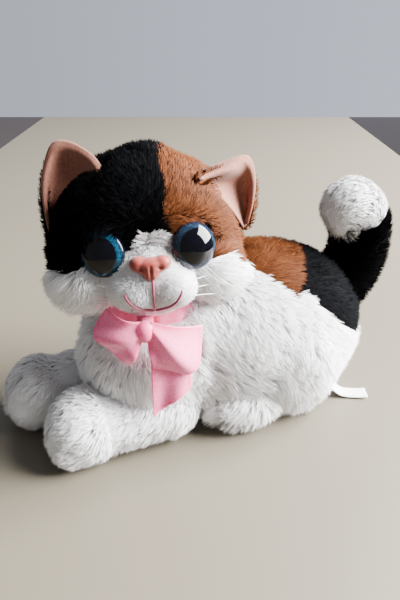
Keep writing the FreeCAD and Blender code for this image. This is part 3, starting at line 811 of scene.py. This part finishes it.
def nose():
    """Flat on top, round at the corners and pointed below, with a groove and two nostrils."""
    material = cloth_material("nose_flock", (0.22, 0.036, 0.027), (0.27, 0.052, 0.040), 600, 0.4, 0.2, 0.1)
    blobs = [(from_head((1, -51.5, -11.6)), (9.0, 5.4, 4.8), HEAD_AXES)]
    blobs.append((from_head((1, -51.5, -14.5)), (5.0, 5.0, 5.4), HEAD_AXES))
    for sign in (1, -1):
        blobs.append((from_head((1 + sign * 6.0, -51.2, -10.4)), (5.0, 4.8, 4.2), HEAD_AXES))
    item = lump("nose_button", blobs, material, "head", ("nose",), 0.5, 16)
    spots = np.empty(len(item.data.vertices) * 3, np.float32)
    item.data.vertices.foreach_get("co", spots)
    local = to_head(spots.reshape(-1, 3) / MM + MIDDLE)
    front = ramp(-local[:, 1], 51, 54)
    groove = np.exp(-(((local[:, 0] - 1) / 0.7) ** 2)) * ramp(-local[:, 2], 10, 13)
    holes = 0
    for sign in (1, -1):
        across, up = (local[:, 0] - 1 - sign * 4.6) / 1.5, (local[:, 2] + 12.6) / 1.1
        holes = holes + np.exp(-(across**2 + up**2))
    local[:, 1] += front * (1.0 * groove + 1.7 * holes)
    item.data.vertices.foreach_set("co", to_frame(from_head(local)).astype(np.float32).ravel())
    item.data.update()


def on_muzzle(skin, x, z, out):
    """The point of the muzzle's cloth straight behind (x, z), moved out by some millimetres."""
    start = Vector(to_frame(from_head((x, -90, z))))
    aim = Vector(HEAD_AXES @ np.array([0.0, 1.0, 0.0]))
    hit, spot, normal, _ = skin.ray_cast(start, aim)
    return (np.array(spot) / MM + MIDDLE) + np.array(normal) * out


def mouth_lines():
    """The mouth in the head's frame, across and up: a line down, then a curve to each side."""
    lines = [[(1.5, z) for z in np.linspace(-18, -35, 12)]]
    angles = np.linspace(0, 1.45, 20)
    for sign in (1, -1):
        lines.append([(1.5 + sign * 14.5 * math.sin(a), -23.5 - 12 * math.cos(a)) for a in angles])
    return lines


def mouth(skin):
    material = cloth_material("mauve_thread", (0.22, 0.035, 0.07), (0.34, 0.07, 0.12), 2500, 0.5, 0.3, 0.4)
    lines = [np.array([on_muzzle(skin, x, z, 1.5) for x, z in line]) for line in mouth_lines()]
    tube("mouth_thread", lines, 0.75, material, "head", ("mouth_stitch",))


def whiskers():
    material = cloth_material("nylon", (0.75, 0.75, 0.75), (0.9, 0.9, 0.9), 300, 0.25, 0.0, 0.05)
    for side, sign in SIDES.items():
        lines = []
        for number in range(3):
            root = np.array([sign * 22, -47, -30 + 4 * number])
            along = np.array([sign * 0.74, 0.62, -0.1 + 0.1 * number])
            line = root + along * np.linspace(0, 30, 14)[:, None]
            line[:, 2] -= np.linspace(0, 1, 14) ** 2 * 2
            lines.append(from_head(line))
        tube(f"whisker_strands_{side}", lines, 0.22, material, "head", (f"whiskers_{side}",))


# ---------------------------------------------------------------- ears

# The seam from outer to inner end and the free edge over the tip, in the head's frame.
EAR_LINES = {
    "right": (
        ((-53, -10, 2), (-47, -15, 12), (-39, -18, 21), (-30, -18, 28)),
        (
            (-55, -9, 2),
            (-57, -6, 15),
            (-57, -4, 34),
            (-50, -3, 53),
            (-40, -4, 55),
            (-27, -10, 47),
            (-21, -15, 37),
            (-25, -17, 29),
        ),
    ),
    "left": (
        ((57, -8, 0), (51, -14, 9), (43, -18, 18), (34, -20, 25)),
        ((60, -8, 2), (64, -8, 16), (65.5, -7, 30), (61, -8, 41), (45, -13, 38), (29, -18, 32)),
    ),
}


def ear_grid(side):
    """The lining of an ear, from its seam to its free edge, hollow, with its upper edge folded."""
    seam, edge = EAR_LINES[side]
    count = 30
    seam = spline(seam, count)
    edge = spline(edge, count)
    s = np.linspace(0, 1, 26)[:, None, None]
    t = np.linspace(0, 1, count)[None, :, None]
    grid = seam[None] * (1 - s) + edge[None] * s
    grid[:, :, 1:2] += 10 * np.sin(np.pi * np.minimum(s * 1.15, 1)) * np.sin(np.pi * t) ** 0.6
    if side == "left":
        grid[:, :, 1:2] -= 11 * ramp(t, 0.45, 0.75) * np.exp(-(((s - 0.66) / 0.2) ** 2))
    else:
        grid[:, :, 1:2] -= 6 * ramp(t, 0.62, 0.85) * np.exp(-(((s - 0.6) / 0.25) ** 2))
    return grid


def off_ears(points):
    """Short under and beside an ear's lining, full away from it."""
    lining = np.concatenate([ear_grid(side).reshape(-1, 3) for side in EAR_LINES])
    tree = KDTree(len(lining))
    for index, spot in enumerate(lining.tolist()):
        tree.insert(spot, index)
    tree.balance()
    gap = np.array([tree.find(spot)[2] for spot in to_head(points).tolist()])
    return 0.3 + 0.7 * ramp(gap, 3, 9)


def ear(side, cloth, pile):
    """Velour in front, plush behind."""
    grid = ear_grid(side)
    body = f"ear_{side}"
    normals = grid_normals(grid)
    if normals[:, :, 1].mean() > 0:
        normals = -normals
    lining = (f"ear_{side}_lining",)
    front = thin_piece(f"ear_{side}_velour", from_head(grid), 1.0, (PINK_VELOUR,), body, lining)
    behind = grid - normals * 2.6
    back = thin_piece(f"ear_{side}_cloth", from_head(behind), 1.4, (cloth,), body, (f"ear_{side}_back",))
    outside = from_head(behind - normals * 0.6)
    mesh = bpy.data.meshes.new("ear_back_face")
    number = np.arange(outside.shape[0] * outside.shape[1]).reshape(outside.shape[:2])
    mesh.from_pydata(to_frame(outside.reshape(-1, 3)).tolist(), [], grid_cells(number).tolist())
    if (np.array(mesh.polygons[200].normal) @ (HEAD_AXES @ np.array([0.0, 1.0, 0.0]))) < 0:
        mesh.flip_normals()
    mesh.update()
    face = add_object("ear_back_face", mesh)
    short = Pile(pile.shades, 3.4, 3.6, 0.45, 0.55, 3.0, 0.08, 0.4)

    def comb(points):
        return (np.array([[0.1 if side == "left" else -0.1, 0.1, 0.8]]) + 0 * points) @ HEAD_AXES.T

    grow(f"ear_{side}_pile", face, body, short, full, comb, 81)
    bpy.data.objects.remove(face)


# ---------------------------------------------------------------- ribbon and bow


def from_neck(points):
    """From across, back and up at the neck, in the direction of the face."""
    return NECK_AXIS + np.asarray(points, float) @ FACING_AXES.T


def ribbon_panel(name, first, last, folds, depth, body, nodes, round_out=0.0):
    """Cloth between two lines of (across, back, up), with folds along its length."""
    count = 44
    a, b = spline(first, count), spline(last, count)
    s = np.linspace(0, 1, 40)[:, None, None]
    t = np.linspace(0, 1, count)[None, :, None]
    grid = a[None] * (1 - s) + b[None] * s
    grid[:, :, 1:2] -= depth * (0.25 + 0.75 * s) * np.cos(2 * np.pi * folds * t + 1.2 * s)
    grid[:, :, 1:2] -= round_out * np.sin(np.pi * s)
    item = thin_piece(name, from_neck(grid), 0.3, (ORGANZA, SATIN), body, nodes, 2.6)
    return item


def bow():
    around = np.linspace(0, 2 * math.pi, 97)
    radius = 41
    ring = np.stack([radius * np.sin(around), -radius * np.cos(around), 86 - 5 * np.sin(around)], axis=1)
    bulge = np.linspace(-1, 1, 9)[:, None, None]
    band = ring[None] + bulge * np.array([0, 0, 7.5])
    band[:, :, :2] *= 1 - 0.05 * bulge**2
    band[:, :, :2] *= 1 + 0.012 * np.sin(around * 23)[None, :, None] * (1 - abs(bulge))
    cloths = (ORGANZA, SATIN)
    collar = thin_piece("ribbon_collar", from_neck(band), 0.5, cloths, "neck", ("neck_ribbon",), 2.0)
    knot = [
        (from_neck((-5, -57, 86)), (5.5, 5.0, 6.5), FACING_AXES),
        (from_neck((-5, -46, 87)), (5, 12, 4), FACING_AXES),
    ]
    item = lump("bow_pinch", knot, SATIN, "neck", ("bow_knot",), 0.9, 3)
    ribbon_panel(
        "bow_loop_of_right",
        ((-7, -56, 92), (-6, -59, 86), (-7, -57, 80)),
        ((-25, -50, 98), (-33, -52, 84), (-25, -55, 73), (-14, -57, 65)),
        2.0,
        1.6,
        "neck",
        ("bow_loop_right",),
        round_out=5,
    )
    ribbon_panel(
        "bow_loop_of_left",
        ((-4, -57, 80), (-1, -60, 86), (-2, -57, 92)),
        ((-1, -58, 61), (12, -60, 59), (24, -58, 63), (27, -50, 84)),
        1.5,
        1.8,
        "neck",
        ("bow_loop_left",),
        round_out=4,
    )
    ribbon_panel(
        "bow_hanging_end",
        ((-2.5, -59, 70), (8, -58, 70), (20, -57, 68)),
        ((-2.5, -64, 33), (8, -63, 41), (20, -60, 49)),
        1.2,
        1.3,
        "bow_end",
        ("bow_tail",),
    )


def label():
    """A blank folded strip that drops from the seam and lies out on the table."""
    line = spline(((33, 81, 16), (36, 85, 7), (40, 91, 1.6), (45, 100, 1.0), (48, 106, 1.6)), 30)
    heading = unit(np.gradient(line, axis=0))
    side = unit(np.cross(heading, (0, 0, 1.0)))
    across = np.linspace(-5.5, 5.5, 10)[:, None, None]
    grid = line[None] + side[None] * across
    grid[:, :, 2:3] += 0.5 * np.sin(across * 0.5)
    material = cloth_material("label_weave", (0.80, 0.80, 0.82), (0.92, 0.92, 0.93), 1500, 0.35, 0.2, 0.1)
    item = thin_piece("blank_label", grid, 0.4, (material,), "label", ("care_label",))


# ---------------------------------------------------------------- neck


def neck():
    blobs = [(NECK + np.array([2, 0, 2]), (25, 27, 22), PLAIN)]
    skin = lump("neck_cloth", blobs, WHITE_CLOTH, "neck", ("neck_stuffing",), 3.0, 4)

    def comb(points):
        aim = np.zeros_like(points)
        aim[:, 2] = -1
        return aim

    grow("neck_pile", skin, "neck", LONG, full, comb, 61)


# ---------------------------------------------------------------- tail

# The tail follows one ring upward and then a smaller one forward. Angles in degrees.
TAIL_CENTRE = np.array([0.0, 78.0, 97.0])
TAIL_RING = 43.0
TIP_RING = 14.0
TAIL_ROOT = -62
TAIL_SEAM = 20
TAIL_TURN = 26
TAIL_END = 60
TAIL_THICK = 16.5


def on_ring(centre, ring, degrees):
    angle = math.radians(degrees)
    return centre + ring * np.array([0, math.cos(angle), math.sin(angle)])


TIP_CENTRE = on_ring(TAIL_CENTRE, TAIL_RING - TIP_RING, TAIL_TURN)


def is_dark_tip(points):
    """The black cloth reaches a little way past the bend."""
    return points[:, 2] < 118 - 0.45 * (132 - points[:, 1]) + 1.5 * np.sin(points[:, 0] * 0.6)


def comb_round(centre):
    """Along a ring of the tail, towards its tip."""

    def comb(points):
        y, z = points[:, 1] - centre[1], points[:, 2] - centre[2]
        aim = np.stack([0 * y, -z, y], axis=1)
        return unit(aim) * 0.9

    return comb


def tail():
    base = [on_ring(TAIL_CENTRE, TAIL_RING, a) for a in np.linspace(TAIL_ROOT, TAIL_SEAM, 18)]
    curl = [on_ring(TAIL_CENTRE, TAIL_RING, a) for a in np.linspace(TAIL_SEAM, TAIL_TURN, 4)]
    curl += [on_ring(TIP_CENTRE, TIP_RING, a) for a in np.linspace(TAIL_TURN, TAIL_END, 5)]
    base, curl = ([(spot, (TAIL_THICK,) * 3, PLAIN) for spot in line] for line in (base, curl))
    lower_nodes = ("tail_cover", "tail_stuffing")
    upper_nodes = ("tail_tip_cover", "tail_tip_stuffing")
    lower = lump("tail_cloth", base, BLACK_CLOTH, "tail", lower_nodes, 2.5, 4)
    upper = lump("tail_tip_cloth", curl, WHITE_CLOTH, "tail_tip", upper_nodes, 2.5, 4)
    grow("tail_pile", lower, "tail", BLACK_PILE, full, comb_round(TAIL_CENTRE), 71)
    paint_cloth(upper, lambda p: is_dark_tip(p) * 1, (WHITE_CLOTH, BLACK_CLOTH))
    white = lambda p: ~is_dark_tip(p) * 1.0
    dark = lambda p: is_dark_tip(p) * 1.0
    tip_comb = comb_round(TIP_CENTRE)
    grow("tail_tip_pile", upper, "tail_tip", PAW_PILE, white, tip_comb, 72)
    grow("tail_band_pile", upper, "tail_tip", BLACK_PILE, dark, tip_comb, 73)


torso()
for side, sign in SIDES.items():
    hind_leg(side, sign)
    front_leg(side, sign)
neck()
head()
mouth(muzzle())
eyes()
nose()
whiskers()
ear("left", ORANGE_CLOTH, ORANGE_PILE)
ear("right", BLACK_CLOTH, BLACK_PILE)
bow()
tail()
label()


# ---------------------------------------------------------------- studio


AWAY = Vector((-0.9176, 0.3976, 0))  # the line of sight on the table, and to its right
ASIDE = Vector((0.3976, 0.9176, 0))


def board(name, middle, sizes, material, upright=False):
    """A flat board across the line of sight: its middle, and its width and depth or height."""
    bm = bmesh.new()
    bmesh.ops.create_grid(bm, x_segments=1, y_segments=1, size=0.5)
    mesh = bpy.data.meshes.new(name)
    bm.to_mesh(mesh)
    bm.free()
    mesh.materials.append(material)
    item = add_object(name, mesh)
    item.scale = (*sizes, 1)
    item.rotation_euler = (math.radians(90) if upright else 0, 0, math.atan2(ASIDE.y, ASIDE.x))
    item.location = middle


def wall_glow_painted_light():
    """A glowing grey backdrop with painted light: it emits its own colour and is painted lighter towards the
    window.
    """
    material, tree, out = shader("wall_glow_painted_light")
    place = tree.nodes.new("ShaderNodeTexCoord")
    parts = tree.nodes.new("ShaderNodeSeparateXYZ")
    shades = tree.nodes.new("ShaderNodeValToRGB")
    shift = tree.nodes.new("ShaderNodeMath")
    shift.operation = "MULTIPLY_ADD"
    shift.inputs[1].default_value = 2.0
    shift.inputs[2].default_value = 0.5
    # painted light: the emitted grey grows lighter towards the window's side
    shades.color_ramp.elements[0].position, shades.color_ramp.elements[0].color = 0.05, (0.50, 0.53, 0.61, 1)
    shades.color_ramp.elements[1].position, shades.color_ramp.elements[1].color = 0.9, (0.68, 0.72, 0.85, 1)
    tree.links.new(place.outputs["Object"], parts.inputs["Vector"])
    tree.links.new(parts.outputs["X"], shift.inputs[0])
    tree.links.new(shift.outputs["Value"], shades.inputs["Fac"])
    tree.links.new(shades.outputs["Color"], out.inputs["Emission Color"])
    out.inputs["Emission Strength"].default_value = 1
    out.inputs["Base Color"].default_value = (0, 0, 0, 1)
    out.inputs["Specular IOR Level"].default_value = 0
    return material


def studio():
    """A cream table with the window to the right, a dark floor past its edges and a pale wall that glows,
    with painted light lighter towards the window.
    """
    viewer = Vector((0.2866, -0.138, 0))
    lacquer, _, out = shader("table_lacquer")
    out.inputs["Base Color"].default_value = (0.132, 0.115, 0.084, 1)
    out.inputs["Roughness"].default_value = 0.45
    board("table_top", viewer + AWAY * 0.4475 - ASIDE * 0.009, (0.742, 1.895), lacquer)
    boards, _, out = shader("floor_boards")
    out.inputs["Base Color"].default_value = (0.17, 0.13, 0.115, 1)
    board("floor", viewer + AWAY * 2.5 + Vector((0, 0, -0.7)), (9, 6), boards)
    # the wall glows with painted light, lighter towards the window
    board("wall", viewer + AWAY * 5.45 + Vector((0, 0, 1.4)), (9, 4.4), wall_glow_painted_light(), True)

    world = bpy.data.worlds.new("room")
    bpy.context.scene.world = world
    world.use_nodes = True
    world.node_tree.nodes["Background"].inputs["Color"].default_value = (0.74, 0.75, 0.80, 1)
    world.node_tree.nodes["Background"].inputs["Strength"].default_value = 0.42

    lamp = bpy.data.lights.new("window", "AREA")
    lamp.size = 1.2
    lamp.energy = 410
    window = bpy.data.objects.new("window", lamp)
    window.location = (0.34, 1.22, 0.82)
    lit_spot = Vector((0, 0, 0.08))
    window.rotation_euler = (window.location - lit_spot).to_track_quat("Z", "Y").to_euler()
    bpy.context.scene.collection.objects.link(window)


def camera():
    """Above the table in front of the cat's left side, tilted down. The face is turned to it."""
    data = bpy.data.cameras.new("camera")
    data.sensor_fit = "HORIZONTAL"
    data.sensor_width = 36
    data.lens = 49.5
    item = bpy.data.objects.new("camera", data)
    spot = to_frame((285.4, -123.7, 241))
    tilt = math.radians(28.2)
    look = AWAY * math.cos(tilt) - Vector((0, 0, math.sin(tilt)))
    item.location = spot
    item.rotation_euler = look.to_track_quat("-Z", "Y").to_euler()
    bpy.context.scene.collection.objects.link(item)
    bpy.context.scene.camera = item


studio()
camera()
